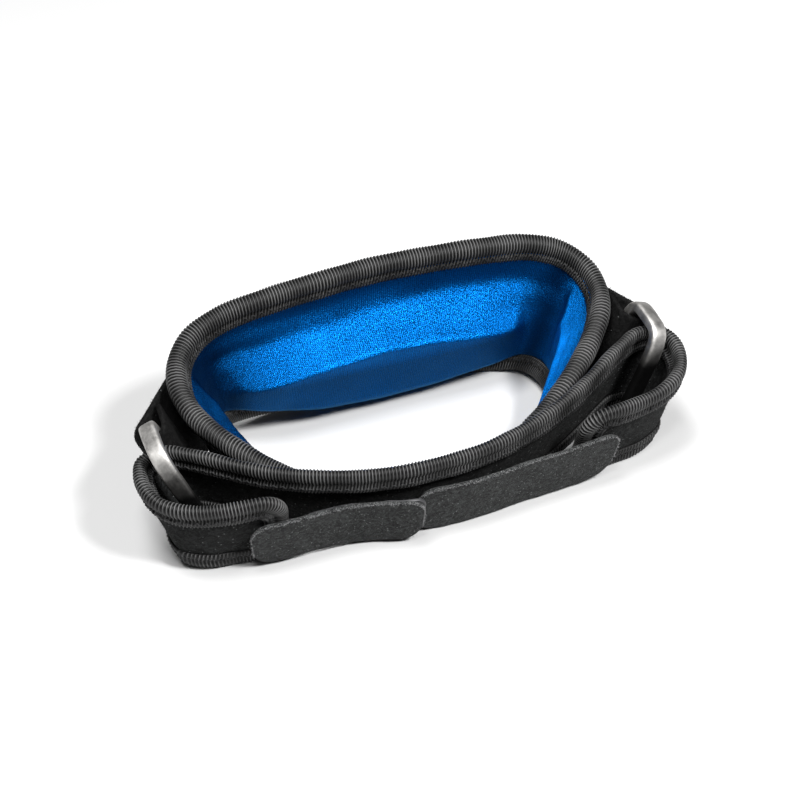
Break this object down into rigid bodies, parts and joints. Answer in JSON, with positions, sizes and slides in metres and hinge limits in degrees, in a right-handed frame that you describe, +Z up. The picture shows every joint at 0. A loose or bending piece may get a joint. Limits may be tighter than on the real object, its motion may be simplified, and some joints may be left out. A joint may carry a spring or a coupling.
{
  "type": "elbow support wrap",
  "caption": "Padded elbow support wrap: an open-fronted bound panel with a soft lining, metal rings on sewn tabs, and a strap that loops through the rings and closes across the front.",
  "frame": {"origin": "bottom centre of the bounding box, on the surface that the wrap stands on", "axes": "+Z up through the arm opening, +X to the right seen from the front, the strap's closing tabs towards -Y"},
  "size_m": [0.1812, 0.0793, 0.0588],
  "materials": {
    "foam_panel": "black knit face over neoprene foam",
    "lining_knit": "royal blue fine knit with a soft sheen",
    "ribbed_tape": "black elastic tape with raised cross ribs",
    "loop_felt": "charcoal loop felt with pale specks",
    "hook_tape": "black hook tape",
    "grip_rubber": "satin ribbed rubber",
    "ring_metal": "worn pewter grey plating"
  },
  "bodies": {
    "root": {"body_shell": "foam_panel", "lining": "lining_knit", "body_binding": "ribbed_tape", "strap": "loop_felt", "strap_binding": "ribbed_tape", "left_tab": "loop_felt", "right_tab": "loop_felt", "left_hook_patch": "hook_tape", "right_hook_patch": "hook_tape", "pull_tab": "grip_rubber", "left_ring": "ring_metal", "right_ring": "ring_metal", "left_ring_tab": "foam_panel", "right_ring_tab": "foam_panel"}
  },
  "joints": []
}
